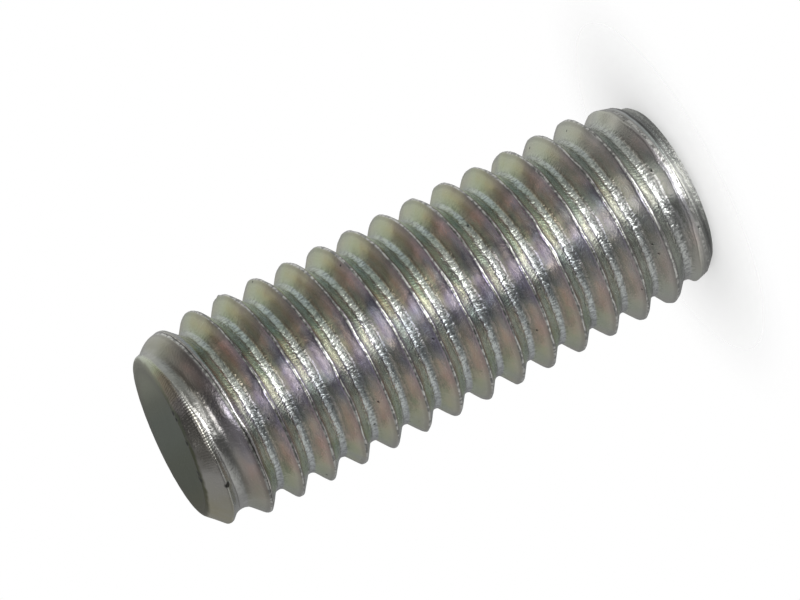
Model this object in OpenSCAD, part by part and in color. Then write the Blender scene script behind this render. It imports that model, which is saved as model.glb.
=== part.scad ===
// Socket set screw with a flat point. It is one steel piece: a rod with a right-hand
// thread over its whole length, a hexagon socket in one end and a flat point at the other.
// It stands on its socket end, with the point up. The origin is at the middle of that end,
// and +Z runs along the screw. All sizes are in millimetres.

/* [Thread] */
// Diameter over the crests of the thread
thread_d = 5.96; // [5.6:0.02:6.4]
// Distance from one turn of the thread to the next
pitch = 1; // [0.8:0.05:1.2]
// Angle between the two flanks of a groove
flank_angle = 60; // [55:1:65]
// Width of the crest between its two flanks
crest_w = 0.125; // [0.09:0.005:0.18]
// Radius that rounds each edge of the crest
crest_r = 0.05; // [0.02:0.005:0.06]
// Radius of the round bottom of the groove
root_r = 0.23; // [0.14:0.01:0.28]

/* [Length and ends] */
// Length of the whole screw
screw_l = 16; // [10:0.5:20]
// Diameter of the flat face of the point, out to its sharp corner
point_d = 4.5; // [3:0.1:4.6]
// Slope of the cone round the point, measured from the end face
point_slope = 45; // [40:1:60]
// Radius that rounds the edge of the point
point_edge_r = 0.12; // [0.04:0.02:0.3]
// How far the first crest at the point lies below the full crests
point_drop = 0.24; // [0.08:0.02:0.26]
// Length over which the crests rise to their full height there
point_rise_l = 1.1; // [0.6:0.1:1.4]
// Outer diameter of the flat face of the socket end
socket_end_d = 4.8; // [4.2:0.1:5]
// Slope of the cone round the socket end, measured from the end face
socket_end_slope = 45; // [40:1:60]
// How far the first crest at the socket end lies below the full crests
socket_end_drop = 0.36; // [0.12:0.02:0.36]
// Length over which the crests rise to their full height there
socket_end_rise_l = 1.3; // [0.6:0.1:1.4]

/* [Hexagon socket] */
// Size of the socket across its flats
socket_af = 3; // [2.5:0.05:3.2]
// Depth of the six flat walls of the socket
socket_depth = 3.5; // [2:0.1:5]
// Angle of the cone at the bottom of the socket
tip_angle = 120; // [100:5:140]
// Angle of the cone at the mouth of the socket
mouth_angle = 120; // [90:5:140]
// Width that the mouth cone takes outside the corners of the hexagon
mouth_margin = 0.05; // [0.02:0.01:0.1]

/* [Detail] */
// Most triangles that the wall of the thread takes
wall_triangles = 12500; // [8000:500:12500]
// Steps in the round bottom of the groove
root_steps = 4; // [3:1:4]

/* [Hidden] */
$fn = 96;

// How far a cut or a blank runs past the surface that it clears
over = 0.2;
// Steps in the rounded edge of the point
edge_steps = 3;
screw_color = [0.53, 0.55, 0.52];

// Radii of the thread. The groove is a V with the given flank angle. Its bottom is an arc
// that touches both flanks, so the depth follows from the pitch, the crest and that arc.
half_flank = flank_angle / 2;
crest_radius = thread_d / 2;
v_depth = (pitch - crest_w) / 2 / tan(half_flank);
root_radius = crest_radius - v_depth + root_r * (1 / sin(half_flank) - 1);

// The arcs of the root and of the crest's edges all turn through this angle
arc_angle = 90 - half_flank;
// How far the arc at a crest's edge reaches in from the sharp corner
edge_setback = crest_r * tan(arc_angle / 2);

// Radius of the socket's corners and of its mouth
socket_corner = socket_af / 2 / cos(30);
mouth_radius = socket_corner + mouth_margin;
mouth_depth = mouth_radius / tan(mouth_angle / 2);
tip_depth = socket_af / 2 / tan(tip_angle / 2);

// One pitch of the thread's outline, as [height, radius] pairs from the start of the root's
// arc, up one flank, over the crest and back to where the next root starts
function root_arc() = [
    for (i = [0 : root_steps])
        let (a = arc_angle * (2 * i / root_steps - 1))
            [root_r * sin(a), root_radius + root_r * (1 - cos(a))]
];
function crest_edge(side) = [
    for (a = side > 0 ? [0, arc_angle] : [-arc_angle, 0])
        [
            pitch / 2 + side * (crest_w / 2 - edge_setback) + crest_r * sin(a),
            crest_radius - crest_r * (1 - cos(a))
        ]
];
outline = concat(root_arc(), crest_edge(-1), crest_edge(1));

// The outline is repeated up the screw and past both ends, so that the ends can be cut.
// A turn rises by one pitch, so it takes this much more than a turn to clear an end.
clear_turns = 1.25;
rows_per_turn = len(outline);
row_turns = ceil(screw_l / pitch + 2 * clear_turns);
rows = rows_per_turn * row_turns;
start_height = -clear_turns * pitch;
// Points in each turn: fewer on a longer screw, so that its wall stays as light
turn_points = floor(wall_triangles / (2 * rows_per_turn * row_turns));

// A point of the thread: row m of the outline, at step j of a turn
function thread_point(m, j) =
    let (
        p = outline[m % rows_per_turn],
        turn = floor(m / rows_per_turn),
        height = start_height + p[0] + (turn + j / turn_points) * pitch,
        a = 360 * j / turn_points
    ) [p[1] * cos(a), p[1] * sin(a), height];

// Index of a point. One step past the end of a turn lies on the turn above.
function at(m, j) = j < turn_points ? m * turn_points + j : (m + rows_per_turn) * turn_points;

thread_points = concat(
    [for (m = [0 : rows - 1], j = [0 : turn_points - 1]) thread_point(m, j)],
    [
        [0, 0, start_height + pitch / 2],
        [0, 0, start_height + row_turns * pitch]
    ]
);
low_centre = rows * turn_points;
high_centre = low_centre + 1;

// The wall of the thread, two triangles for each step. The last step of a turn is left out
// where the turn above it is past the end.
wall_faces = [
    for (m = [0 : rows - 2], j = [0 : turn_points - 1])
        if (j < turn_points - 1 || m + 1 + rows_per_turn < rows)
            each [
                [at(m, j), at(m + 1, j), at(m + 1, j + 1)],
                [at(m, j), at(m + 1, j + 1), at(m, j + 1)]
            ]
];
// The edge that the wall leaves open below and above: once round, then along one pitch
low_edge = concat(
    [for (j = [0 : turn_points - 1]) at(0, j)],
    [for (m = [rows_per_turn : -1 : 1]) at(m, 0)]
);
high_edge = concat(
    [for (j = [0 : turn_points - 1]) at(rows - 1, j)],
    [for (m = [1 : rows_per_turn]) at(rows - 1 - m, turn_points - 1)]
);
low_faces = [
    for (i = [0 : len(low_edge) - 1])
        [low_centre, low_edge[i], low_edge[(i + 1) % len(low_edge)]]
];
high_faces = [
    for (i = [0 : len(high_edge) - 1])
        [high_centre, high_edge[(i + 1) % len(high_edge)], high_edge[i]]
];

// A threaded rod that is longer than the screw
module threaded_rod() {
    polyhedron(
        points = thread_points,
        faces = concat(wall_faces, low_faces, high_faces),
        convexity = 10
    );
}

// The rounded edge of the point, as [radius, height] pairs from its cone to its flat face
function point_edge() = [
    for (i = [0 : edge_steps])
        let (a = point_slope * (1 - i / edge_steps))
            [
                point_d / 2 - point_edge_r * (tan(point_slope / 2) - sin(a)),
                screw_l - point_edge_r * (1 - cos(a))
            ]
];

// One end of the blank, as [radius, distance from the end face] pairs: a cone from the face
// out to the first crest, then a slimmer cone along which the crests come up to full height
function end_taper(face_radius, slope, drop, rise_l) =
    let (
        first_radius = crest_radius - drop,
        first_height = (first_radius - face_radius) * tan(slope)
    ) [
        [first_radius, first_height],
        [crest_radius + over, first_height + rise_l * (1 + over / drop)]
    ];
socket_taper = end_taper(socket_end_d / 2, socket_end_slope, socket_end_drop, socket_end_rise_l);
point_taper = end_taper(point_d / 2, point_slope, point_drop, point_rise_l);

// The blank that the thread is rolled into: two flat end faces with the tapers between them
module blank() {
    rotate_extrude()
        polygon(concat(
            [[0, 0], [socket_end_d / 2, 0]],
            socket_taper,
            [for (i = [1, 0]) [point_taper[i][0], screw_l - point_taper[i][1]]],
            point_edge(),
            [[0, screw_l]]
        ));
}

// The hexagon socket, with a cone at its mouth and one at its bottom
module hexagon_socket() {
    translate([0, 0, -over])
        cylinder(h = socket_depth + over, r = socket_corner, $fn = 6);
    translate([0, 0, socket_depth])
        cylinder(h = tip_depth, r1 = socket_af / 2, r2 = 0);
    cylinder(h = mouth_depth, r1 = mouth_radius, r2 = 0);
}

module set_screw() {
    color(screw_color)
        difference() {
            intersection() {
                blank();
                threaded_rod();
            }
            hexagon_socket();
        }
}

set_screw();
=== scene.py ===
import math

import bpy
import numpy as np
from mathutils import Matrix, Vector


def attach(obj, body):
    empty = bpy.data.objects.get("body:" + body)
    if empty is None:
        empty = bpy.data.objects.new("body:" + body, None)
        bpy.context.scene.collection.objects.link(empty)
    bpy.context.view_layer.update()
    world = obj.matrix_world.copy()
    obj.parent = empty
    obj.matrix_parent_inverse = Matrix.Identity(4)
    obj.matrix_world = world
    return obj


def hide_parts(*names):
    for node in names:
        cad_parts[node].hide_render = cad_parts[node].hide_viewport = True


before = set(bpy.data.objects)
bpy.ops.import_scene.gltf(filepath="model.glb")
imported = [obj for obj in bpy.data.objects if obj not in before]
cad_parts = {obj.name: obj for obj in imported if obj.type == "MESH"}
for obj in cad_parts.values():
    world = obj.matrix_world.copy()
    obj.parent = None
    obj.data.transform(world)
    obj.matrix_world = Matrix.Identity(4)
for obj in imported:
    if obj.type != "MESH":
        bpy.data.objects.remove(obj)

# %% [markdown]
# # A zinc plated set screw
# The object is a headless screw: a steel rod with a thread rolled over its whole length, a
# hexagon socket in one end and a flat point at the other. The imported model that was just
# loaded fixes its sizes and its place. This lesson gives it the surface of the real one: crests
# that are slightly uneven, a rough root, a worn edge at the point, and zinc with a thin film.
# It stands on its socket end with the point up, and every length below is in millimetres until
# it is handed to Blender, which works in metres here.

MM = 0.001
TURN = 2 * math.pi

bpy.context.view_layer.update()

# %% [markdown]
# ## The camera
# The photograph was taken from far off with a long lens, slightly above the middle of the
# screw, and then turned so that the point is at the lower left. A camera in Blender needs the
# same direction, roll and distance. They were found by laying the lines of the crests over the
# picture until both agreed to about a pixel.

# %% Camera at the photograph's angle
IMAGE_WIDTH = 800
SENSOR = 36.0
AZIMUTH = math.radians(220.1)
ELEVATION = math.radians(13.95)
ROLL = math.radians(-117.08)
DISTANCE = 230.0
PIXELS_PER_MM = 36.11
AIM_RIGHT = 0.574
AIM_UP = -0.384
NEAREST = 10.0
FARTHEST = 10000.0
SCREW_LENGTH = 16.0

back = Vector((
    math.sin(AZIMUTH) * math.cos(ELEVATION),
    -math.cos(AZIMUTH) * math.cos(ELEVATION),
    math.sin(ELEVATION),
))
level = Vector((math.cos(AZIMUTH), math.sin(AZIMUTH), 0))
upright = back.cross(level)
image_right = level * math.cos(ROLL) + upright * math.sin(ROLL)
image_up = upright * math.cos(ROLL) - level * math.sin(ROLL)
middle = Vector((0, 0, SCREW_LENGTH / 2))
aim = middle - image_right * AIM_RIGHT - image_up * AIM_UP

camera_data = bpy.data.cameras.new("camera")
camera_data.sensor_width = SENSOR
camera_data.lens = PIXELS_PER_MM * DISTANCE * SENSOR / IMAGE_WIDTH
camera_data.clip_start = NEAREST * MM
camera_data.clip_end = FARTHEST * MM
camera = bpy.data.objects.new("camera", camera_data)
camera.matrix_world = Matrix.Translation((aim + back * DISTANCE) * MM) @ Matrix((
    (image_right.x, image_up.x, back.x, 0),
    (image_right.y, image_up.y, back.y, 0),
    (image_right.z, image_up.z, back.z, 0),
    (0, 0, 0, 1),
))
bpy.context.scene.collection.objects.link(camera)
bpy.context.scene.camera = camera
print("lens, mm:", round(camera_data.lens, 1))

# %% [markdown]
# ## The thread's outline
# A thread is one outline, drawn along the screw, that climbs one pitch in each turn. A screw
# modifier could sweep it, but then the two ends would have to be cut with booleans, which
# leaves thin triangles that shade badly. Here the wall is a height map wrapped round the axis:
# a formula says how far the metal reaches at each angle and height, and a regular net of
# points takes its radius from it.

# %% Radius of the thread at a distance from its crest
# The flanks of this screw are a little more open than the standard 60 degrees of the packed
# model, and its crests are narrower, as the width of its bands of light shows.
PITCH = 1.0
CREST_RADIUS = 2.98
CREST_WIDTH = 0.06
CREST_EDGE = 0.03
ROOT_ROUND = 0.25
FLANK = math.radians(37)
HALF = PITCH / 2

flank_fall = 1 / math.tan(FLANK)
edge_turn = math.pi / 2 - FLANK
flat_half = CREST_WIDTH / 2 - CREST_EDGE * math.tan(edge_turn / 2)
flank_start = flat_half + CREST_EDGE * math.sin(edge_turn)
flank_top = CREST_RADIUS - CREST_EDGE * (1 - math.cos(edge_turn))
root_start = HALF - ROOT_ROUND * math.sin(edge_turn)
v_depth = (PITCH - CREST_WIDTH) / 2 * flank_fall
ROOT_RADIUS = CREST_RADIUS - v_depth + ROOT_ROUND * (1 / math.sin(FLANK) - 1)


def thread_radius(offset):
    """Radius of the rolled thread at this distance along the screw from its nearest crest."""
    edge = np.sqrt(np.clip(CREST_EDGE ** 2 - (offset - flat_half) ** 2, 0, None))
    root = np.sqrt(np.clip(ROOT_ROUND ** 2 - (HALF - offset) ** 2, 0, None))
    return np.select(
        [offset < flat_half, offset < flank_start, offset < root_start],
        [
            CREST_RADIUS,
            CREST_RADIUS - CREST_EDGE + edge,
            flank_top - flank_fall * (offset - flank_start),
        ],
        ROOT_RADIUS + ROOT_ROUND - root,
    )


print("root radius, mm:", round(ROOT_RADIUS, 3))

# %% Phase of the thread, and the two tapered ends
POINT_RADIUS = 2.25
POINT_DROP = 0.24
POINT_RISE = 1.1
SOCKET_END_RADIUS = 2.4
SOCKET_END_DROP = 0.36
SOCKET_END_RISE = 1.3
CONE_SLOPE = math.radians(45)
PHASE_AT_ZERO = 0.25


def crest_offset(angle, height):
    """Signed distance from the nearest crest, in pitches: plus is towards the point."""
    phase = height / PITCH - angle / TURN - PHASE_AT_ZERO
    return phase - np.round(phase)


def end_radius(depth, face_radius, drop, rise):
    """Radius of a blank's end at this depth below its face: a 45 degree cone, then a slim one."""
    first = CREST_RADIUS - drop
    cone = face_radius + depth
    slim = first + (depth - (first - face_radius)) * drop / rise
    return np.minimum(cone, slim)


def soft_min(a, b, blend):
    """The smaller of two radii, with the edge between them rounded over this length."""
    mix = np.clip(0.5 + 0.5 * (b - a) / blend, 0, 1)
    return b + (a - b) * mix - blend * mix * (1 - mix)


print("pitches from a crest, 0.25 mm up on the +X side:", float(crest_offset(0, 0.25)))

# %% [markdown]
# ## Small faults of a rolled thread
# Rolling squeezes the metal up between two dies. It never fills them evenly, so real crests
# wander a little in height and to the side, and the root keeps the scars of the dies. Noise
# textures would only change the shading, so the larger faults are put in the shape. Each is a
# sum of waves that close on themselves after one turn, from a fixed seed.

# %% Waves that close on themselves round the screw
def ripple(angle, height, length, seed, count=36):
    """Uneven waves of about this length in mm, with a typical size of one."""
    dice = np.random.default_rng(seed)
    total = np.zeros_like(angle)
    for _ in range(count):
        heading = dice.uniform(0, TURN)
        waves = TURN / (length * dice.uniform(0.7, 1.5))
        around = round(waves * math.cos(heading) * CREST_RADIUS)
        along = waves * math.sin(heading)
        total = total + np.cos(around * angle + along * height + dice.uniform(0, TURN))
    return total / math.sqrt(count / 2)


def spot(angle, height, at_angle, at_height, size):
    """One at a given place on the wall, falling to nothing over about this size in mm."""
    turned = angle - math.radians(at_angle)
    across = (turned - TURN * np.round(turned / TURN)) * CREST_RADIUS
    return np.exp(-(across ** 2 + (height - at_height) ** 2) / (2 * (size / 2) ** 2))


print("a spot of 1 mm, at its middle and 1 mm above:", spot(0, np.arange(2), 0, 0, 1).round(3))

# %% [markdown]
# ## The two ends
# The rod is cut to length by a blade, so the flat face of the point is not quite square: it
# leans a few degrees, and its edge stands out most at one side. Rolling also pushes the last
# turn outwards at both ends, because nothing holds the metal there. At the socket end the
# dies were better filled on one side, and the first crest is higher there.

# %% Lean of the flat point and of the last turns
POINT_SLANT = 0.058
SLANT_TOWARDS = math.radians(80)
POINT_HEIGHT = 15.93
POINT_EDGE_ROUND = 0.35
POINT_LEAN = 0.30
POINT_LEAN_DEPTH = 1.65
SOCKET_END_LEAN = 0.14
SOCKET_END_LEAN_DEPTH = 1.4
LEAN_SOFTNESS = 0.25
FULLER_BY = 0.24
FULLER_TOWARDS = math.radians(145)


def point_plane(angle, radius):
    """Height of the slanted flat face at this angle and radius."""
    return POINT_HEIGHT + POINT_SLANT * radius * np.cos(angle - SLANT_TOWARDS)


def rim_height(angle):
    """Height at which the slanted face would cut the cone round it in a sharp edge."""
    cone_at_axis = POINT_RADIUS + SCREW_LENGTH
    slope = POINT_SLANT * np.cos(angle - SLANT_TOWARDS)
    return (POINT_HEIGHT + slope * cone_at_axis) / (1 + slope)


def lean(depth, most, reach):
    """How far a crest at this depth below an end is pushed outwards."""
    near = np.clip(reach - depth, 0, None)
    return most * near ** 2 / (near + LEAN_SOFTNESS)


def socket_end_drop(angle):
    """How far the first crest lies below the full ones. It is fuller on one side."""
    side = np.clip(np.cos(angle - FULLER_TOWARDS), 0, None)
    return SOCKET_END_DROP - FULLER_BY * side ** 2


def rolled_height(height):
    """Height at which the undisturbed thread has what the real one has at this height."""
    outwards = lean(SCREW_LENGTH - height, POINT_LEAN, POINT_LEAN_DEPTH)
    downwards = lean(height, SOCKET_END_LEAN, SOCKET_END_LEAN_DEPTH)
    return height - outwards + downwards


print("point leans, degrees:", round(math.degrees(math.atan(POINT_SLANT)), 1))

# %% Radius of the wall at any angle and height
CREST_WANDER = 0.010
CREST_WANDER_LENGTH = 1.1
CREST_REACH = 0.14
CREST_LOSS = 0.006
CREST_LOSS_SPREAD = 0.8
CREST_LOSS_LENGTH = 0.8
ROOT_FROM = 0.3
ROOT_FADE = 0.1
ROOT_SCAR = 0.005
ROOT_SCAR_LENGTH = 0.4
END_GRIND = 0.004
END_GRIND_LENGTH = 0.5
END_BLEND = 0.04
POINT_BLEND = 0.07
POINT_BLEND_FROM = 14.2
POINT_BLEND_OVER = 0.8
BURR = 0.035
BURR_SIZE = 0.16
BURR_ANGLE = 221.0
BURR_HEIGHT = 12.87


def point_end(angle, height):
    """Radius of the point's end, with the round edge between its cone and its flat face."""
    cone = end_radius(SCREW_LENGTH - height, POINT_RADIUS, POINT_DROP, POINT_RISE)
    rim = rim_height(angle)
    inner = POINT_RADIUS + SCREW_LENGTH - rim - POINT_EDGE_ROUND * math.tan(CONE_SLOPE / 2)
    fall = np.clip(POINT_EDGE_ROUND - (rim - height), 0, POINT_EDGE_ROUND)
    edge = inner + np.sqrt(POINT_EDGE_ROUND ** 2 - fall ** 2)
    return np.where(rim - height < POINT_EDGE_ROUND * (1 - math.cos(CONE_SLOPE)), edge, cone)


def rolled_rod(angle, height):
    """Radius of the rolled thread with its faults, as if the rod had no ends."""
    wander = CREST_WANDER * ripple(angle, height, CREST_WANDER_LENGTH, seed=3)
    offset = np.abs(crest_offset(angle, rolled_height(height) + wander)) * PITCH
    near_crest = np.clip(1 - offset / CREST_REACH, 0, 1)
    near_root = np.clip((offset - ROOT_FROM) / ROOT_FADE, 0, 1)
    nicks = CREST_LOSS_SPREAD * ripple(angle, height, CREST_LOSS_LENGTH, seed=5)
    loss = CREST_LOSS * (1 + nicks)
    scars = ROOT_SCAR * ripple(angle, height, ROOT_SCAR_LENGTH, seed=8)
    radius = thread_radius(np.clip(offset, 0, HALF))
    return radius - near_crest * loss + near_root * scars


def wall_radius(angle, height):
    """Radius of the whole wall: the rolled rod inside the tapered ends, and a small burr."""
    drop = socket_end_drop(angle)
    socket_end = end_radius(height, SOCKET_END_RADIUS, drop, SOCKET_END_RISE)
    ends = np.minimum(point_end(angle, height), socket_end)
    grind = np.clip(1 + ripple(angle, height, END_GRIND_LENGTH, seed=13), 0, None)
    ends = ends - END_GRIND * grind
    near_point = np.clip((height - POINT_BLEND_FROM) / POINT_BLEND_OVER, 0, 1)
    blend = END_BLEND + POINT_BLEND * near_point
    burr = BURR * spot(angle, height, BURR_ANGLE, BURR_HEIGHT, BURR_SIZE)
    return soft_min(rolled_rod(angle, height), ends, blend) + burr


halfway = SCREW_LENGTH / 2 + np.arange(3) * PITCH / 4
print("radius on three heights, mm:", wall_radius(np.zeros(3), halfway).round(2))

# %% [markdown]
# ## One net over the whole screw
# The net is a stack of rings. It starts at the middle of the point, runs out over the flat
# face and down the threaded wall, then in over the socket end, up the six walls of the socket
# and onto the cone at its bottom. Ring after ring is joined by four-sided faces, so the skin
# is closed and shades evenly. The number of points in a ring is a multiple of six, so that the
# corners of the hexagon fall on points.

# %% Rings of the flat point
COLUMNS = 132
FACE_DENT = 0.004
FACE_DENT_LENGTH = 1.4
angles = np.arange(COLUMNS) * TURN / COLUMNS


def ring(radius, height):
    """One ring of points. Radius and height may differ from point to point."""
    radius = np.broadcast_to(radius, angles.shape)
    height = np.broadcast_to(height, angles.shape)
    return np.stack([radius * np.cos(angles), radius * np.sin(angles), height], axis=1)


rims = rim_height(angles)
face_edge = POINT_RADIUS + SCREW_LENGTH - rims - POINT_EDGE_ROUND * math.tan(CONE_SLOPE / 2)
face_rings = []
for share in (0.12, 0.3, 0.48, 0.64, 0.78, 0.86, 0.91, 0.94, 0.965, 0.985):
    radius = face_edge * share
    dent = FACE_DENT * (1 + share * ripple(angles, radius, FACE_DENT_LENGTH, seed=21))
    face_rings.append(ring(radius, point_plane(angles, radius) - dent * (1 - share)))
print("rings on the point:", len(face_rings))

# %% Rings of the threaded wall
# They are closest where the wall turns most: at the round edge of the point and at the ends.
UPPER_STEP = 0.016
MIDDLE_STEP = 0.025
LOWER_STEP = 0.02
edge_heights = SCREW_LENGTH - np.array([0, 0.003, 0.008, 0.015, 0.025, 0.035])
upper_heights = np.arange(15.95, 14.79, -UPPER_STEP)
middle_heights = np.arange(14.776, 1.21, -MIDDLE_STEP)
lower_heights = np.arange(1.2, -0.001, -LOWER_STEP)
heights = np.concatenate([edge_heights, upper_heights, middle_heights, lower_heights])
heights[-1] = 0
wall_angle, wall_height = np.meshgrid(angles, heights)

# The rings near the point lean with its face, less and less down to this height.
LEVEL_BELOW = 14.8
leaning = np.clip((wall_height - LEVEL_BELOW) / (SCREW_LENGTH - LEVEL_BELOW), 0, None)
wall_height = wall_height + leaning * (rims - SCREW_LENGTH)
wall = wall_radius(wall_angle, wall_height)
wall_rings = [ring(wall[i], wall_height[i]) for i in range(len(heights))]
print("rings on the wall:", len(wall_rings))
print("radius from", wall.min().round(3), "to", wall.max().round(3), "mm")

# %% Rings of the hexagon socket
SOCKET_FLATS = 3.0
SOCKET_DEPTH = 3.5
MOUTH_MARGIN = 0.05
MOUTH_RADIUS = SOCKET_FLATS / 2 / math.cos(math.pi / 6) + MOUTH_MARGIN
MOUTH_SLOPE = math.tan(math.radians(60))
TIP_HEIGHT = SOCKET_FLATS / 2 / math.tan(math.radians(60))

sixth = TURN / 6
from_corner = (angles + sixth / 2) % sixth - sixth / 2
hexagon = SOCKET_FLATS / 2 / np.cos(sixth / 2 - np.abs(from_corner))
mouth = (MOUTH_RADIUS - hexagon) / MOUTH_SLOPE
socket_rings = [ring(radius, 0.0) for radius in (2.3, 2.1, 1.9, MOUTH_RADIUS + 0.02)]
for share in (0.1, 0.9, 1):
    radius = MOUTH_RADIUS + (hexagon - MOUTH_RADIUS) * share
    socket_rings.append(ring(radius, mouth * share))
for share in (0.03, 0.2, 0.4, 0.6, 0.8, 0.98, 1):
    socket_rings.append(ring(hexagon, mouth + (SOCKET_DEPTH - mouth) * share))
for share in (1, 0.9, 0.6, 0.3, 0.08):
    radius = np.minimum(hexagon, SOCKET_FLATS / 2) * share
    socket_rings.append(ring(radius, SOCKET_DEPTH + TIP_HEIGHT * (1 - share)))
print("rings in the socket:", len(socket_rings))

# %% The rings joined into one closed skin
MIDDLE_DENT = 0.006
rings = np.array(face_rings + wall_rings + socket_rings)
ring_count = len(rings)
points = np.concatenate([
    rings.reshape(-1, 3),
    [[0, 0, POINT_HEIGHT - MIDDLE_DENT], [0, 0, SOCKET_DEPTH + TIP_HEIGHT]],
])
point_pole = ring_count * COLUMNS
socket_pole = point_pole + 1

column = np.arange(COLUMNS)
after = (column + 1) % COLUMNS
upper = np.arange(ring_count - 1)[:, None] * COLUMNS
lower = upper + COLUMNS
quads = np.stack([
    upper + column, lower + column, lower + after, upper + after,
], axis=2).reshape(-1, 4)
last = (ring_count - 1) * COLUMNS
caps = [(point_pole, int(a), int(b)) for a, b in zip(column, after)]
caps += [(socket_pole, int(last + b), int(last + a)) for a, b in zip(column, after)]

skin = bpy.data.meshes.new("plated_screw")
skin.from_pydata((points * MM).tolist(), [], quads.tolist() + caps)
skin.update()
screw = bpy.data.objects.new("plated_screw", skin)
bpy.context.scene.collection.objects.link(screw)
print("triangles:", 2 * len(quads) + len(caps))

# %% The thread's own height, kept at every point for the material
rolled_heights = rolled_height(points[:, 2]).astype(np.float32)
thread_height = skin.attributes.new("thread_height", "FLOAT", "POINT")
thread_height.data.foreach_set("value", rolled_heights)
print("thread height at the socket end, mm:", rolled_heights.min().round(3))

# %% Smooth shading, with hard edges where two faces meet sharply
HARD_ANGLE = math.radians(38)

skin.polygons.foreach_set("use_smooth", [True] * len(skin.polygons))
skin.set_sharp_from_angle(angle=HARD_ANGLE)
print("hard edges:", sum(1 for edge in skin.edges if edge.use_edge_sharp))

# %% [markdown]
# ## A flat map of the skin
# Nothing in this render reads a UV map, because every pattern below is worked out from a
# point's place in space. A part that is used elsewhere gets its patterns as pictures, and
# those need a map without cuts through the thread. The net gives one: each ring is a row.

# %% UV map from the rows of the net
MAP_BORDER = 0.01
lengths = np.linalg.norm(np.diff(rings, axis=0), axis=2)
down = np.concatenate([[0], np.cumsum(lengths.mean(axis=1))])
down = MAP_BORDER + (1 - 2 * MAP_BORDER) * down / down[-1]
layer = skin.uv_layers.new(name="OFBake")
quad_u = np.stack([column, column, column + 1, column + 1], axis=1) / COLUMNS
quad_u = np.broadcast_to(quad_u, (ring_count - 1, COLUMNS, 4))
quad_v = np.stack([down[:-1], down[1:], down[1:], down[:-1]], axis=1)[:, None, :]
quad_v = np.broadcast_to(quad_v, (ring_count - 1, COLUMNS, 4))
cap_u = np.tile(np.stack([column + 0.5, column, column + 1], axis=1) / COLUMNS, (2, 1))
cap_u[COLUMNS:, 1:] = cap_u[COLUMNS:, :0:-1]
cap_v = np.repeat([[0, down[0], down[0]], [1, down[-1], down[-1]]], COLUMNS, axis=0)
flat = np.concatenate([
    np.stack([quad_u, 1 - quad_v], axis=3).reshape(-1, 2),
    np.stack([cap_u, 1 - cap_v], axis=2).reshape(-1, 2),
])
layer.data.foreach_set("uv", flat.astype(np.float32).ravel())
print("corners mapped:", len(flat), "of", len(skin.loops))

# %% [markdown]
# ## Making materials
# A material is a small graph. One function adds a node, sets it up and joins it to the ones
# before it. Colours are written as the sRGB hex values that a screen shows, and turned into
# the linear values that the render needs.

# %% A node with its settings and links, and a colour from its hex value
def add(tree, kind, inputs=None, **settings):
    """Adds a node. An input given as a node takes that node's first output that is in use."""
    made = tree.nodes.new(kind)
    for name, value in settings.items():
        setattr(made, name, value)
    for name, value in (inputs or {}).items():
        if isinstance(value, bpy.types.Node):
            value = next(out for out in value.outputs if out.enabled)
        if isinstance(value, bpy.types.NodeSocket):
            tree.links.new(value, made.inputs[name])
        else:
            made.inputs[name].default_value = value
    return made


def linear(hex_colour):
    """An sRGB hex colour as the linear red, green, blue and alpha of a node."""
    shares = [int(hex_colour[i:i + 2], 16) / 255 for i in (1, 3, 5)]
    return [s / 12.92 if s <= 0.04045 else ((s + 0.055) / 1.055) ** 2.4 for s in shares] + [1]


def emptied(owner):
    """The node tree of a material or a world, without the nodes that it starts with."""
    owner.use_nodes = True
    owner.node_tree.nodes.clear()
    return owner.node_tree


print("zinc grey:", [round(v, 3) for v in linear("#BFC3C0")])

# %% [markdown]
# A few kinds of node come again and again, so they get short functions. Each adds to the graph
# that is being made, which the cells below keep in the name `tree`.

# %% Arithmetic, rescaling and noise
def maths(operation, *values):
    """One step of arithmetic on one, two or three values."""
    return add(tree, "ShaderNodeMath", dict(enumerate(values)), operation=operation)


def rescaled(value, low, high, at_low=0.0, at_high=1.0):
    """A value between low and high, turned into one between at_low and at_high."""
    return add(tree, "ShaderNodeMapRange", {
        0: value, "From Min": low, "From Max": high, "To Min": at_low, "To Max": at_high,
    })


def noise(place, scale, detail, roughness=0.5):
    """Soft noise with this many patches in a unit of length, and finer ones over them."""
    return add(tree, "ShaderNodeTexNoise", {
        0: place, "Scale": scale, "Detail": detail, "Roughness": roughness,
    })


print("short names for arithmetic, rescaling and noise are ready")

# %% Greys, ramps of colours, and the mixing of two colours
def grey(value):
    """A grey as a colour, for a value that is mixed the way colours are."""
    return (value, value, value, 1)


def ramp(source, stops):
    """Colours or greys along a value. A stop is its place and a hex colour or a grey."""
    made = add(tree, "ShaderNodeValToRGB", {0: source})
    knots = made.color_ramp.elements
    while len(knots) < len(stops):
        knots.new(0.5)
    for knot, (at, value) in zip(knots, stops):
        knot.position = at
        knot.color = linear(value) if isinstance(value, str) else grey(value)
    return made.outputs["Color"]


def mixed(share, colour, other, **settings):
    """The first colour, with this share of the other one mixed in."""
    return add(tree, "ShaderNodeMix", {0: share, 6: colour, 7: other}, data_type="RGBA",
               **settings).outputs["Result"]


def darkened(colour, shade):
    """The colour times a grey between 0 and 1."""
    return mixed(1.0, colour, shade, blend_type="MULTIPLY")


print("middle grey:", grey(0.5))

# %% [markdown]
# ## Zinc plating with a clear film
# The real finish is electroplated zinc, dipped in a clear chromate that keeps it from going
# white. The film is thinner than a wave of light, so it tints the metal: where it is thinnest
# the zinc looks greenish, then straw and brown, then violet, and where it is thickest a cold
# blue grey. Blender's thin film works on glass and plastic but leaves a metal as it is, so the
# tints are written as base colours in space. They change most with the angle round the axis,
# counted from the side that faces the camera, and from crest to root. Round the axis they
# carry painted highlight and shade as well as the film's colours.

# %% Where each point lies on the thread
plating = bpy.data.materials.new("clear_zinc_plating")
tree = emptied(plating)

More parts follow.
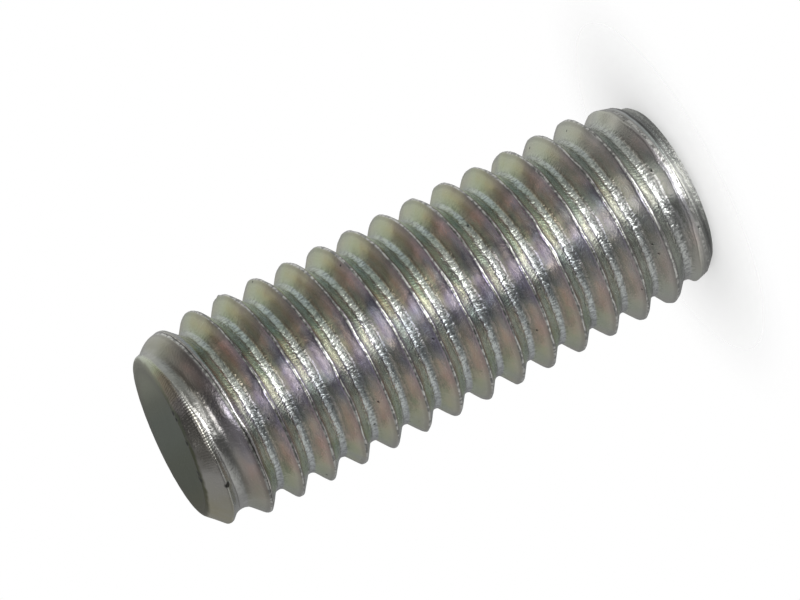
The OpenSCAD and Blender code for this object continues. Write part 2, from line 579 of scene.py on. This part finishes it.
place = add(tree, "ShaderNodeTexCoord").outputs["Object"]
in_mm = add(tree, "ShaderNodeVectorMath", {0: place, "Scale": 1 / MM}, operation="SCALE")
axes = add(tree, "ShaderNodeSeparateXYZ", {0: in_mm})
rise = axes.outputs["Z"]
bearing = maths("ARCTAN2", axes.outputs["Y"], axes.outputs["X"])
rolled = add(tree, "ShaderNodeAttribute", attribute_name="thread_height").outputs["Fac"]
phase_at_foot = maths("MULTIPLY_ADD", bearing, -1 / TURN, -PHASE_AT_ZERO)
phase = maths("MULTIPLY_ADD", rolled, 1 / PITCH, phase_at_foot)
from_crest = maths("WRAP", phase, 0.5, -0.5)
along_turn = maths("ADD", from_crest, 0.5)
print("nodes that find the place on the thread:", len(tree.nodes))

# %% Zones of the thread
# One turn runs from 0 to 1 with the crest at 0.5. The flank towards the point lies above the
# crest, the far flank below it, and the root at both ends of the range.
root_zone = ramp(along_turn, [(0, 1), (0.09, 1), (0.15, 0), (0.88, 0), (0.93, 1), (1, 1)])
far_flank_zone = ramp(along_turn, [(0.09, 0), (0.15, 1), (0.42, 1), (0.46, 0)])
crest_zone = ramp(along_turn, [(0.45, 0), (0.475, 1), (0.525, 1), (0.55, 0)])
crest_side_zone = ramp(along_turn, [(0.55, 1), (0.72, 0)])
root_side_zone = ramp(along_turn, [(0.72, 0), (0.88, 1)])
print("nodes with the zones:", len(tree.nodes))

# %% Angle round the screw from the side that faces the camera
FACING_SIDE = math.radians(130.1)
PATCH_SIZE = 1.3
PATCH_SHIFT = 0.13
FINE_SIZE = 0.35
FINE_SHIFT = 0.05

from_facing = maths("MULTIPLY_ADD", bearing, 1 / TURN, 0.5 - FACING_SIDE / TURN)
patches = noise(in_mm, 1 / PATCH_SIZE, 2.0)
fine_patches = noise(in_mm, 1 / FINE_SIZE, 2.0, 0.6)
patchy_side = maths("MULTIPLY_ADD", patches, PATCH_SHIFT, from_facing)
patchy_side = maths("MULTIPLY_ADD", fine_patches, FINE_SHIFT, patchy_side)
patchy_side = maths("SUBTRACT", patchy_side, (PATCH_SHIFT + FINE_SHIFT) / 2)
side = maths("WRAP", patchy_side, 1.0, 0.0)


def around(stops):
    """Colours round the screw, with painted highlight and shade. A stop is an angle in degrees
    from the side facing the camera, and a colour.
    """
    return ramp(side, [(0.5 + at / 360, colour) for at, colour in stops])


print("the dry side is at", round(math.degrees(FACING_SIDE), 1), "degrees")

# %% Tints of each zone, with painted highlight and shade round the axis
# Each tint is partly the film's colour and partly painted light: much of its lightening and
# darkening round the axis is painted highlight and shade.
flank_tint = around([
    (-180, "#C4C9B6"), (-125, "#D0C6B0"), (-80, "#B6BEA6"), (-62, "#C8C9AB"),
    (-50, "#D8C6B0"), (-40, "#EAC6B6"), (-30, "#F0CEC4"), (-20, "#CCC0C4"), (-10, "#9792A8"),
    (0, "#8F86A3"), (10, "#7A7079"), (20, "#B59A95"), (30, "#E2B4A3"), (40, "#A8917C"),
    (50, "#A0967A"), (60, "#BFBA93"), (70, "#C2C59E"), (80, "#C3CBA9"), (130, "#D0C6B2"),
    (180, "#C4C9B6"),
])
crest_side_tint = around([
    (-180, "#C8C8BE"), (-80, "#BCBBB3"), (-60, "#CECABB"), (-42, "#CDBAB4"),
    (-28, "#D0C0C2"), (-12, "#BAB3C7"), (0, "#D4CCE8"), (10, "#9A91A5"), (20, "#DDCCDB"),
    (30, "#D0BEC2"), (42, "#A69C9A"), (55, "#B2AC9B"), (72, "#C3C4A9"), (85, "#C0C6AC"),
    (180, "#C8C8BE"),
])
root_side_tint = around([
    (-180, "#C2CAB4"), (-75, "#B4BEA5"), (-60, "#BEC2A8"), (-48, "#C8C1B2"),
    (-30, "#DAD9CD"), (-12, "#A7ABB1"), (0, "#A6A4A3"), (12, "#A19F91"), (25, "#D0C9AE"),
    (40, "#B9B19C"), (50, "#A8AC98"), (62, "#A4B093"), (80, "#B1BCA2"), (180, "#C2CAB4"),
])
# The far flank is painted almost white on the side facing the camera: a painted highlight of the
# lamps there, over the film's green.
far_tint_and_highlight = around([
    (-180, "#D2D8CC"), (-60, "#D2DBD9"), (-40, "#CEDDD4"), (-15, "#D4DCCF"), (-7, "#F6F6E4"),
    (5, "#FBFAE2"), (14, "#D2E0D0"), (28, "#C5DDD6"), (40, "#C6DDDD"), (52, "#D0DCE2"),
    (65, "#D6DBDE"), (180, "#D2D8CC"),
])
root_tint = around([
    (-180, "#B4B6B2"), (-85, "#A4A8AA"), (-68, "#CACFD1"), (-40, "#D2D8D5"), (-17, "#A7ADAF"),
    (0, "#B6B8B6"), (20, "#C9CEC3"), (38, "#B8C4B8"), (50, "#BCC9C5"), (70, "#C5CEC0"),
    (85, "#B4BEAE"), (180, "#C8CAC6"),
])
tint = mixed(crest_side_zone, flank_tint, crest_side_tint)
tint = mixed(root_side_zone, tint, root_side_tint)
tint = mixed(far_flank_zone, tint, far_tint_and_highlight)
tint = mixed(root_zone, tint, root_tint)
print("nodes with the tints:", len(tree.nodes))

# %% Places where the film is washed thin or worn
# It was washed thinner towards the socket end, where the zinc is an even grey. On the first
# turns at the point it is worn, and the zinc is a darker, plain grey.
WASHED_MOST = 0.8
WASHED_TO = 4.5
WORN_FROM = 13.9
WORN_MOST = 14.9

washed = rescaled(rise, WASHED_MOST, WASHED_TO, 0.7, 0.0)
worn = rescaled(rise, WORN_FROM, WORN_MOST, 0.0, 0.7)
tint = mixed(washed, tint, linear("#C6C7C3"))
tint = mixed(worn, tint, linear("#A09D98"))
print("plain film between", WASHED_TO, "and", WORN_FROM, "mm")

# %% Crests rubbed bright
# The crests are scuffed, and a thin line at each side of them is darker.
crest_side_darkening = ramp(along_turn, [
    (0.37, 1), (0.42, 0.8), (0.45, 0.8), (0.475, 1), (0.525, 1), (0.55, 0.8),
    (0.58, 0.8), (0.63, 1),
])
scuffs = noise(in_mm, 7.0, 2.0)
scuff_shade = ramp(scuffs, [(0.42, 0.45), (0.56, 1)])
tint = darkened(tint, crest_side_darkening)
tint = mixed(crest_zone, tint, darkened(linear("#D2D2CD"), scuff_shade))
print("nodes with the rubbed crests:", len(tree.nodes))

# %% Thin dark lines along the thread
# One, painted shade, runs in the bend where the far flank meets the root. On the last turn
# another parts the crest from the cone of the socket end. Near the point the metal has not
# quite closed over the crests when it was rolled, and leaves a seam.
LINE_WANDER = 0.05
SEAM_WANDER = 0.06
LAST_TURN_TO = 0.75
LAST_TURN_FADED = 0.95
SEAM_FROM = 11.5
SEAM_FULL = 13.8

line_wander = noise(in_mm, 1.6, 2.0)
line_place = maths("MULTIPLY_ADD", line_wander, LINE_WANDER, along_turn)
# Painted shade in the bend between the far flank and the root.
foot_shade_line = ramp(line_place, [(0.115, 1), (0.128, 0.62), (0.142, 0.62), (0.155, 1)])
tint = darkened(tint, foot_shade_line)

cone_line = ramp(line_place, [(0.27, 1), (0.31, 0.1), (0.37, 0.1), (0.41, 1)])
last_turn = rescaled(rise, LAST_TURN_TO, LAST_TURN_FADED, 1.0, 0.0)
tint = mixed(last_turn, tint, darkened(tint, cone_line))

seam_place = maths("MULTIPLY_ADD", line_wander, SEAM_WANDER, along_turn)
seam_line = ramp(seam_place, [(0.502, 0), (0.514, 1), (0.520, 1), (0.532, 0)])
seam = maths("MULTIPLY", seam_line, rescaled(rise, SEAM_FROM, SEAM_FULL))
tint = mixed(seam, tint, linear("#4A4844"))
print("nodes with the lines:", len(tree.nodes))

# %% Where the flat face and the cone of the point are
# The dot product with the slanted face's normal gives the height at which a plane through
# the point, parallel to that face, crosses the axis.
EDGE_WANDER = 0.12

face_normal = Vector((
    -POINT_SLANT * math.cos(SLANT_TOWARDS), -POINT_SLANT * math.sin(SLANT_TOWARDS), 1,
))
plane_height = add(tree, "ShaderNodeVectorMath", {0: in_mm, 1: face_normal},
                   operation="DOT_PRODUCT").outputs["Value"]
above_plane = maths("SUBTRACT", plane_height, POINT_HEIGHT)
edge_noise = noise(in_mm, 2.5, 4.0)
above_plane = maths("MULTIPLY_ADD", edge_noise, EDGE_WANDER, above_plane)
face_zone = rescaled(above_plane, -0.02, 0.03)
off_face = maths("SUBTRACT", 1.0, face_zone)

flat_place = add(tree, "ShaderNodeVectorMath", {0: in_mm, 1: (1, 1, 0)}, operation="MULTIPLY")
from_axis = add(tree, "ShaderNodeVectorMath", {0: flat_place}, operation="LENGTH")
above_cone = maths("SUBTRACT", maths("ADD", rise, from_axis), POINT_RADIUS + SCREW_LENGTH)
cone_zone = rescaled(above_cone, -0.09, -0.03)
print("face normal:", [round(v, 3) for v in face_normal])

# %% Tints of the cone and of the flat face
FACE_REACH = 2.2

# Round the cone the tint is partly painted shade: it is painted darkest on the side facing the
# camera, over the zinc's own colour.
cone_tint = around([
    (-180, "#B8B8B2"), (-75, "#B1AD96"), (-55, "#B5B3AA"), (-30, "#B3B1AD"), (-14, "#88857F"),
    (5, "#787571"), (20, "#95908E"), (38, "#A89E89"), (52, "#BDC3A4"), (75, "#D2D8C8"),
    (180, "#B8B8B2"),
])
tint = mixed(cone_zone, tint, cone_tint)

across_face = add(tree, "ShaderNodeVectorMath", {
    0: in_mm, 1: (math.sin(FACING_SIDE), -math.cos(FACING_SIDE), 0),
}, operation="DOT_PRODUCT").outputs["Value"]
across_face = rescaled(across_face, -FACE_REACH, FACE_REACH)
face_tint = ramp(across_face, [
    (0.05, "#B4B9A2"), (0.14, "#A0A68E"), (0.24, "#788068"), (0.36, "#6A7764"), (0.5, "#687560"),
    (0.64, "#5B6747"), (0.8, "#566142"), (0.91, "#63683F"),
])
near_rim = rescaled(from_axis, 1.75, 2.15, 0.0, 0.4)
tint = mixed(face_zone, tint, mixed(near_rim, face_tint, linear("#6E6660")))
print("nodes with the point:", len(tree.nodes))

# %% Pits where the plating did not hold
# Small ones are strewn over the whole screw. A few larger ones lie on the cone of the point,
# each with its place and its size.
PITS = [
    ((-1.82, 1.15, 16.0), 0.06), ((-1.71, 1.32, 15.99), 0.05), ((-1.15, 1.74, 16.0), 0.07),
    ((-0.29, 2.04, 16.0), 0.07), ((-0.08, 2.06, 16.0), 0.08), ((0.65, 2.25, 15.81), 0.04),
    ((0.04, 2.64, 15.51), 0.07), ((-1.53, 1.76, 15.82), 0.05),
]
PIT_FADE = 1.6
STREWN_PER_MM = 1.5

strewn = add(tree, "ShaderNodeTexVoronoi", {0: in_mm, "Scale": STREWN_PER_MM})
sound = rescaled(strewn.outputs["Distance"], 0.03, 0.07)
for at, size in PITS:
    reach = add(tree, "ShaderNodeVectorMath", {0: in_mm, 1: at}, operation="DISTANCE")
    clear_of_it = rescaled(reach.outputs["Value"], size, size * PIT_FADE)
    sound = maths("MINIMUM", sound, clear_of_it)
tint = darkened(tint, ramp(sound, [(0, 0.12), (1, 1)]))
print("larger pits:", len(PITS))

# %% Where the beads of the root and the cut zinc of the socket end are
CUT_MOST = 0.35
CUT_TO = 0.6
CUT_BEADS = 0.4

bead_zone = ramp(along_turn, [
    (0, 1), (0.16, 1), (0.28, 0.35), (0.4, 0), (0.76, 0), (0.86, 0.5), (0.93, 1), (1, 1),
])
cut_zone = rescaled(rise, CUT_MOST, CUT_TO, 0.6, 0.0)
smooth_end = rescaled(rise, WORN_FROM, WORN_MOST, 1.0, 0.2)
bead_zone = maths("MULTIPLY", bead_zone, smooth_end)
bead_zone = maths("MAXIMUM", bead_zone, maths("MULTIPLY", cut_zone, CUT_BEADS))
bead_zone = maths("MULTIPLY", bead_zone, off_face)
print("cut zinc up to", CUT_TO, "mm")

# %% Height of the root's beads
# The dies leave the root in rows of small uneven beads. Round the screw there are this many,
# about a tenth of a millimetre apart, and they are longest along the screw.
BEADS = 165
BEAD_WANDER = 22.0
BEAD_ORDER = 0.025

bead_wander = noise(in_mm, 2.2, 3.0)
bead_turn = maths("MULTIPLY", bearing, BEADS)
bead_rows = maths("SINE", maths("MULTIPLY_ADD", bead_wander, BEAD_WANDER, bead_turn))
bead_place = add(tree, "ShaderNodeMapping", {0: in_mm, "Scale": (1, 1, 0.75)})
bead_noise = noise(bead_place, 12.0, 2.0, 0.6)
bead_height = maths("MULTIPLY_ADD", bead_rows, BEAD_ORDER, bead_noise)
bead_height = maths("MULTIPLY", bead_height, bead_zone)
print("beads are", round(TURN * ROOT_RADIUS / BEADS, 3), "mm apart")

# %% Painted shade between the beads, and the darker cut zinc
# The hollows between the beads are painted darker, as shade.
bead_hollow_shade = ramp(bead_noise, [(0.38, 0.66), (0.54, 1)])
tint = mixed(bead_zone, tint, darkened(tint, bead_hollow_shade))
tint = mixed(cut_zone, tint, linear("#A3A4A0"))
print("nodes with the beads:", len(tree.nodes))

# %% Height of the far flank's ridges
# The flank away from the point has fine slanting ridges, which fade over half the screw.
RIDGES = 190
RIDGE_SLANT = 9.0
RIDGE_WANDER = 7.0

ridge_turn = maths("MULTIPLY", bearing, RIDGES)
ridge_turn = maths("MULTIPLY_ADD", rise, RIDGE_SLANT, ridge_turn)
ridges = maths("SINE", maths("MULTIPLY_ADD", bead_wander, RIDGE_WANDER, ridge_turn))
ridge_side = ramp(side, [(0.3, 0.3), (0.46, 0.6), (0.5, 1), (0.72, 0.8), (0.9, 0.3)])
off_last_turn = maths("SUBTRACT", 1.0, last_turn)
ridge_height = ridges
for zone in (far_flank_zone, ridge_side, off_face, off_last_turn):
    ridge_height = maths("MULTIPLY", ridge_height, zone)
print("nodes with the ridges:", len(tree.nodes))

# %% Height of the turned rings at the socket end, of the cone's tool marks and of the grain
# Noise that is squeezed along the screw makes rings. The tool marks are noise on the unrolled
# screw, squeezed round it instead, so that they run down the cone.
ring_place = add(tree, "ShaderNodeMapping", {0: in_mm, "Scale": (0.25, 0.25, 9.0)})
ring_height = maths("MULTIPLY", noise(ring_place, 1.6, 3.0), cut_zone)
unrolled = add(tree, "ShaderNodeCombineXYZ", {0: bearing, 1: rise})
mark_place = add(tree, "ShaderNodeMapping", {0: unrolled, "Scale": (30.0, 1.5, 1.0)})
mark_height = maths("MULTIPLY", noise(mark_place, 1.0, 3.0), cone_zone)
grain = noise(in_mm, 14.0, 3.0)
print("nodes with the rings and marks:", len(tree.nodes))

# %% All heights as one rough skin
# Each height comes with its depth in millimetres.
rough_skin = None
for height, depth in [
    (bead_height, 0.032), (ridge_height, 0.0025), (ring_height, 0.02), (mark_height, 0.0025),
    (sound, 0.015), (grain, 0.009),
]:
    layers = {"Height": height, "Distance": depth * MM, "Strength": 1.0}
    if rough_skin:
        layers["Normal"] = rough_skin
    rough_skin = add(tree, "ShaderNodeBump", layers)
print("nodes with the rough skin:", len(tree.nodes))

# %% Roughness, and the finished plating
roughness = ramp(along_turn, [
    (0, 0.12), (0.14, 0.11), (0.38, 0.13), (0.48, 0.14), (0.53, 0.14), (0.6, 0.22),
    (0.84, 0.20), (0.93, 0.12),
])
roughness = mixed(cut_zone, roughness, grey(0.34))
roughness = mixed(cone_zone, roughness, grey(0.3))
roughness = mixed(face_zone, roughness, grey(0.3))
shader = add(tree, "ShaderNodeBsdfPrincipled", {
    "Base Color": tint, "Metallic": 1.0, "Roughness": roughness, "Normal": rough_skin,
})
add(tree, "ShaderNodeOutputMaterial", {"Surface": shader})
skin.materials.append(plating)
print("nodes in the plating:", len(tree.nodes))

# %% [markdown]
# ## The studio
# Bright metal has hardly a look of its own: what the eye sees in it is the room, and the
# groove of a thread mirrors it two or three times over. Small shiny parts are therefore
# photographed in a light tent, a closed tent of white cloth that is lit from outside. The tent
# here is a round shell that only reflections see. It is brightest where its lamps shine
# through, low, level and high on the camera's side, which draws a line of light down the
# screw, and dim to the left and right, which draws the dark edges of each band. Behind it all
# the world is plain white.

# %% White backdrop
studio = bpy.data.worlds.new("white_backdrop")
bpy.context.scene.world = studio
tree = emptied(studio)
backdrop = add(tree, "ShaderNodeBackground", {"Color": grey(1), "Strength": 1.0})
add(tree, "ShaderNodeOutputWorld", {"Surface": backdrop})
bpy.context.scene.view_settings.view_transform = "Standard"
print("world:", studio.name)

# %% How bright the tent's cloth is on each side
CAMERA_SIDE = AZIMUTH - math.pi / 2

# Each bright place has its middle, in degrees from the camera's side and above the level of
# the screw's middle, then its widths to the left, right, below and above, and its light.
BRIGHT_PLACES = [
    # Lamps on the camera's side: low, high and level
    ((0, -34), 11, 15, 8, 6, 8.0),
    ((26, -34), 16, 24, 8, 7, 1.1),
    ((-36, -34), 22, 14, 8, 8, 0.35),
    ((3, -45), 36, 46, 12, 12, 0.4),
    ((-4, 46), 11, 13, 10, 11, 4.0),
    ((2, -3), 10, 13, 7, 7, 2.5),
    ((30, 12), 12, 18, 9, 9, 0.5),
    ((0, 15), 22, 24, 14, 18, 0.25),
    # Softer light from the left and right
    ((-85, -20), 26, 26, 20, 18, 0.6),
    ((85, -12), 34, 30, 20, 16, 0.4),
    ((-80, 45), 30, 30, 20, 20, 0.2),
    # Faint light from behind and above
    ((128, 10), 28, 26, 30, 26, 0.28),
    ((145, 12), 26, 24, 34, 30, 0.34),
    ((-145, 12), 24, 26, 34, 30, 0.28),
    ((-95, 62), 40, 40, 18, 24, 0.12),
    ((95, 62), 40, 40, 18, 24, 0.12),
]

# These are counted from straight behind. Angles end there at 180 and start at -180, so each
# place is made at both.
PLACES_BEHIND = [
    ((-10, -76), 30, 28, 7, 6, 3.6),
    ((0, -20), 50, 50, 20, 20, 0.10),
    ((0, 62), 60, 60, 22, 24, 0.22),
]
CLOTH_GLOW = 0.06
FOOT_GLOW = 0.5
FOOT_WIDTH = 17


def bright_place(azimuth, elevation, at, left, right, below, above, light):
    """Light of one bright place, which falls off softly from its middle."""
    across = azimuth - at[0]
    up = elevation - at[1]
    across = across / np.where(across < 0, left, right)
    up = up / np.where(up < 0, below, above)
    return light * np.exp(-0.5 * (across ** 2 + up ** 2))


def cloth_glow(azimuth, elevation):
    """Light of the whole cloth at these degrees."""
    glow = np.full(np.shape(azimuth), CLOTH_GLOW)
    for lamp in BRIGHT_PLACES:
        glow = glow + bright_place(azimuth, elevation, *lamp)
    for behind in (-180, 180):
        for lamp in PLACES_BEHIND:
            glow = glow + bright_place(azimuth - behind, elevation, *lamp)
    return glow + FOOT_GLOW * np.exp(-0.5 * ((elevation + 90) / FOOT_WIDTH) ** 2)


for towards, at in (("low in front", (0, -34)), ("left", (-90, 0)), ("behind", (180, 10))):
    print("cloth", towards + ":", round(float(cloth_glow(*np.array(at, float))), 2))

# %% The tent's shell
TENT_RADIUS = 120.0
TENT_STEP = 4

tent_azimuth, tent_elevation = np.meshgrid(
    np.arange(-180, 180, TENT_STEP), np.arange(-90, 91, TENT_STEP / 2),
)
tent_turn = CAMERA_SIDE + np.radians(tent_azimuth)
tent_rise = np.radians(tent_elevation)
tent_points = TENT_RADIUS * MM * np.stack([
    np.cos(tent_turn) * np.cos(tent_rise),
    np.sin(tent_turn) * np.cos(tent_rise),
    np.sin(tent_rise),
], axis=2) + np.array(middle) * MM

tent_rows, tent_columns = tent_azimuth.shape
cell_row, cell_column = np.meshgrid(
    np.arange(tent_rows - 1), np.arange(tent_columns), indexing="ij",
)
cell_after = (cell_column + 1) % tent_columns
tent_cells = np.stack([
    cell_row * tent_columns + cell_column, cell_row * tent_columns + cell_after,
    (cell_row + 1) * tent_columns + cell_after, (cell_row + 1) * tent_columns + cell_column,
], axis=2).reshape(-1, 4)

tent_mesh = bpy.data.meshes.new("light_tent")
tent_mesh.from_pydata(tent_points.reshape(-1, 3).tolist(), [], tent_cells.tolist())
cloth = tent_mesh.attributes.new("cloth_glow", "FLOAT", "POINT")
cloth.data.foreach_set(
    "value", cloth_glow(tent_azimuth, tent_elevation).astype(np.float32).ravel(),
)
tent = bpy.data.objects.new("light_tent", tent_mesh)
bpy.context.scene.collection.objects.link(tent)
print("cells in the tent:", len(tent_cells))

# %% The tent's cloth, which only reflections see
cloth_paint = bpy.data.materials.new("lit_cloth")
tree = emptied(cloth_paint)
glow = add(tree, "ShaderNodeAttribute", attribute_name="cloth_glow").outputs["Fac"]
lit_cloth = add(tree, "ShaderNodeEmission", {"Color": grey(1), "Strength": glow})
add(tree, "ShaderNodeOutputMaterial", {"Surface": lit_cloth})
tent_mesh.materials.append(cloth_paint)
cloth_paint.cycles.emission_sampling = "NONE"
tent.visible_camera = False
tent.visible_diffuse = False
tent.visible_transmission = False
tent.visible_shadow = False
print("the tent is seen by reflections:", tent.visible_glossy)

# %% The floor, a small round plate just under the screw
FLOOR_RADIUS = 7.0
FLOOR_DROP = 0.02
FLOOR_SIDES = 48

floor_mesh = bpy.data.meshes.new("floor")
floor_edge = [
    (FLOOR_RADIUS * math.cos(a) * MM, FLOOR_RADIUS * math.sin(a) * MM, -FLOOR_DROP * MM)
    for a in np.arange(FLOOR_SIDES) * TURN / FLOOR_SIDES
]
floor_mesh.from_pydata(floor_edge, [], [list(range(FLOOR_SIDES))])
floor = bpy.data.objects.new("floor", floor_mesh)
bpy.context.scene.collection.objects.link(floor)
print("floor, mm across:", 2 * FLOOR_RADIUS)

# %% The floor's paint, pale, fading into the backdrop and clear from below
FLOOR_FADE_FROM = 3.0
FLOOR_SHARE = 0.55

floor_paint = bpy.data.materials.new("white_floor")
tree = emptied(floor_paint)
on_floor = add(tree, "ShaderNodeTexCoord").outputs["Object"]
from_middle = add(tree, "ShaderNodeVectorMath", {0: on_floor}, operation="LENGTH")
fade = add(tree, "ShaderNodeMapRange", {
    0: from_middle, "From Min": FLOOR_FADE_FROM * MM, "From Max": FLOOR_RADIUS * MM,
    "To Min": FLOOR_SHARE, "To Max": 0,
}, interpolation_type="SMOOTHSTEP")
underneath = add(tree, "ShaderNodeNewGeometry").outputs["Backfacing"]
fade = add(tree, "ShaderNodeMath", {0: fade, 1: underneath}, operation="SUBTRACT", use_clamp=True)
matt = add(tree, "ShaderNodeBsdfDiffuse", {"Color": linear("#FAFAFA")})
clear = add(tree, "ShaderNodeBsdfTransparent")
floor_mix = add(tree, "ShaderNodeMixShader", {0: fade, 1: clear, 2: matt})
add(tree, "ShaderNodeOutputMaterial", {"Surface": floor_mix})
floor_mesh.materials.append(floor_paint)
# The screw mirrors the tent's cloth under it, not this plate.
floor.visible_glossy = False
print("nodes in the floor's paint:", len(tree.nodes))

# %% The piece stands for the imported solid
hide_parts("set_screw")
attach(screw, "root")
